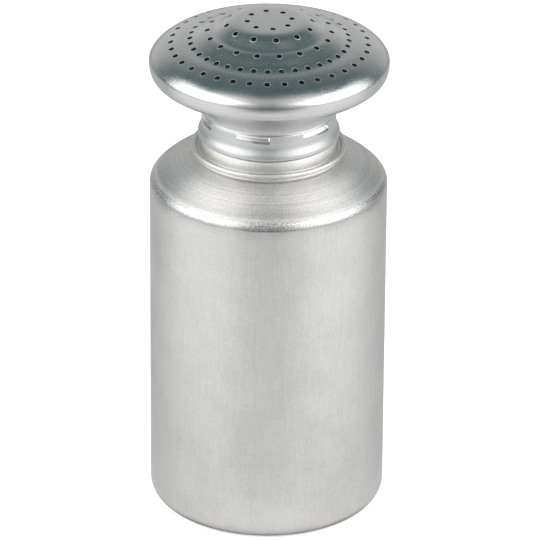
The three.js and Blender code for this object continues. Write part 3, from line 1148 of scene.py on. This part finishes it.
def paintedFloorLight(tree):
    # painted shade: 1 on open floor, less in front of the shaker, behind it, round its foot and under it,
    # as painted shadows
    f = paintedFloorShade
    split = tree.nodes.new("ShaderNodeSeparateXYZ")
    tree.links.new(place(tree), split.inputs[0])
    x, y = split.outputs["X"], split.outputs["Y"]
    ahead = mathOf(tree, "MAXIMUM", mathOf(tree, "MULTIPLY", y, -1), f["nearest"])
    aside = mathOf(tree, "DIVIDE", mathOf(tree, "ABSOLUTE", x), ahead)
    middle = fade(tree, aside, *f["wedge"])
    shadow = mathOf(tree, "MULTIPLY", spread(tree, ahead, *f["shadow"]), middle)
    foot = mathOf(tree, "MULTIPLY", spread(tree, ahead, *f["foot"]), middle)
    foot = mathOf(tree, "MULTIPLY", foot, fade(tree, ahead, *f["footEnd"]))
    behind = spread(tree, y, *f["behind"])
    length = tree.nodes.new("ShaderNodeVectorMath")
    length.operation = "LENGTH"
    tree.links.new(place(tree), length.inputs[0])
    distance = length.outputs["Value"]
    ring = mathOf(tree, "SUBTRACT", fade(tree, distance, *f["ring"]), middle, clamp=True)
    contact = mathOf(tree, "MULTIPLY", fade(tree, distance, *f["contact"]), middle)
    contact = mathOf(tree, "MULTIPLY", contact, f["contactShare"])
    beneath = mathOf(tree, "MAXIMUM", contact, fade(tree, distance, *f["beneath"]))
    zones = [(beneath, -f["beneathDepth"]), (shadow, -f["shadowDepth"]), (foot, -f["footDepth"]),
             (behind, -f["behindDepth"]), (ring, -f["ringDepth"])]
    return blendOf(tree, zones, 1.0)


def makeFloor():
    half = studio["floorSize"] / 2
    corners = [(-half, -half, 0), (half, -half, 0), (half, half, 0), (-half, half, 0)]
    floor = meshObject("floor", corners, [[0, 1, 2, 3]])
    made, tree, shader = surfaceTree("floor_white")
    seen = tree.nodes.new("ShaderNodeLightPath").outputs["Is Camera Ray"]
    light = mathOf(tree, "MAXIMUM", paintedFloorLight(tree), seen)  # the camera sees the floor evenly white
    white = (studio["floorWhite"],) * 3
    # the floor's colour and glow are multiplied by this painted shade
    tree.links.new(mixColours(tree, light, (0, 0, 0), white), shader.inputs["Base Color"])
    tree.links.new(mixColours(tree, light, (0, 0, 0), (1, 1, 1)), shader.inputs["Emission Color"])
    shader.inputs["Roughness"].default_value = studio["floorRoughness"]
    shader.inputs["Specular IOR Level"].default_value = studio["floorSpecular"]
    glow = blendOf(tree, [(seen, studio["floorGlowSeen"])], studio["floorGlow"])
    tree.links.new(glow, shader.inputs["Emission Strength"])
    floor.data.materials.append(made)


def makeSoftbox(name, side):
    light = bpy.data.lights.new(name, "AREA")
    light.shape = "RECTANGLE"
    light.size = studio["boxWidth"]
    light.size_y = studio["boxHeight"]
    light.energy = studio["boxPower"]
    obj = bpy.data.objects.new(name, light)
    bpy.context.collection.objects.link(obj)
    azimuth = math.radians(side * studio["boxAzimuth"])
    elevation = math.radians(studio["boxElevation"][name])
    level = math.cos(elevation)
    outwards = Vector((math.sin(azimuth) * level, -math.cos(azimuth) * level, math.sin(elevation)))
    target = Vector((0, 0, studio["boxTarget"]))
    obj.location = target + studio["boxDistance"] * outwards
    obj.rotation_euler = (target - obj.location).to_track_quat("-Z", "Y").to_euler()


def roomRamp(tree, height, stops):
    ramp = tree.nodes.new("ShaderNodeValToRGB")
    tree.links.new(height, ramp.inputs["Fac"])
    points = ramp.color_ramp.elements
    while len(points) < len(stops):
        points.new(0.5)
    for point, (position, value) in zip(points, stops):
        point.position = position
        # the tint fades out towards white
        point.color = (*(value + shift * (1 - value) ** 2 for shift in studio["tint"]), 1)
    return ramp.outputs["Color"]


def makeWorld():
    world = bpy.data.worlds.new("studio")
    bpy.context.scene.world = world
    world.use_nodes = True
    tree = world.node_tree
    background = tree.nodes["Background"]
    split = tree.nodes.new("ShaderNodeSeparateXYZ")
    tree.links.new(tree.nodes.new("ShaderNodeTexCoord").outputs["Generated"], split.inputs[0])
    height, depth = split.outputs["Z"], split.outputs["Y"]
    sideways = mathOf(tree, "ABSOLUTE", split.outputs["X"])
    sides = ("front", "aside", "side", "behind")
    front, aside, side, behind = (roomRamp(tree, height, studio[name]) for name in sides)
    ahead = mixColours(tree, spread(tree, sideways, *studio["frontToAside"]), front, aside)
    nearHalf = mixColours(tree, spread(tree, depth, *studio["frontToSide"]), ahead, side)
    room = mixColours(tree, spread(tree, depth, *studio["sideToBehind"]), nearHalf, behind)
    tree.links.new(room, background.inputs["Color"])
    # the camera sees plain white, and only the light and the reflections see the shaded room
    plain = tree.nodes.new("ShaderNodeBackground")
    plain.inputs["Color"].default_value = (1, 1, 1, 1)
    choose = tree.nodes.new("ShaderNodeMixShader")
    tree.links.new(tree.nodes.new("ShaderNodeLightPath").outputs["Is Camera Ray"], choose.inputs[0])
    tree.links.new(background.outputs[0], choose.inputs[1])
    tree.links.new(plain.outputs[0], choose.inputs[2])
    tree.links.new(choose.outputs[0], tree.nodes["World Output"].inputs["Surface"])


# the camera's place, lens and sensor are in millimetres
view = {
    "place": (0.0, -1653.1, 908.4),
    "tilt": 26.536,
    "yaw": 0.0245,
    "roll": 0.398,
    "lens": 362.8,
    "sensor": 36.0,
    "nearest": 0.05,
    "farthest": 50,
}


def makeCamera():
    camera = bpy.data.cameras.new("camera")
    camera.sensor_width = view["sensor"]
    camera.sensor_fit = "HORIZONTAL"
    camera.lens = view["lens"]
    camera.clip_start = view["nearest"]
    camera.clip_end = view["farthest"]
    obj = bpy.data.objects.new("camera", camera)
    bpy.context.collection.objects.link(obj)
    tilt, yaw, roll = (math.radians(view[k]) for k in ("tilt", "yaw", "roll"))
    forward = Vector((math.sin(yaw) * math.cos(tilt), math.cos(yaw) * math.cos(tilt), -math.sin(tilt)))
    right = Vector((math.cos(yaw), -math.sin(yaw), 0))
    up = right.cross(forward)
    across = math.cos(roll) * right + math.sin(roll) * up
    upright = -math.sin(roll) * right + math.cos(roll) * up
    turn = Matrix((across, upright, -forward)).transposed()
    obj.matrix_world = Matrix.Translation(Vector(view["place"]) * mm) @ turn.to_4x4()
    bpy.context.scene.camera = obj


makeFloor()
makeSoftbox("softbox_left", -1)
makeSoftbox("softbox_right", 1)
makeWorld()
makeCamera()
bpy.context.scene.view_settings.view_transform = "Standard"
print("studio ready")
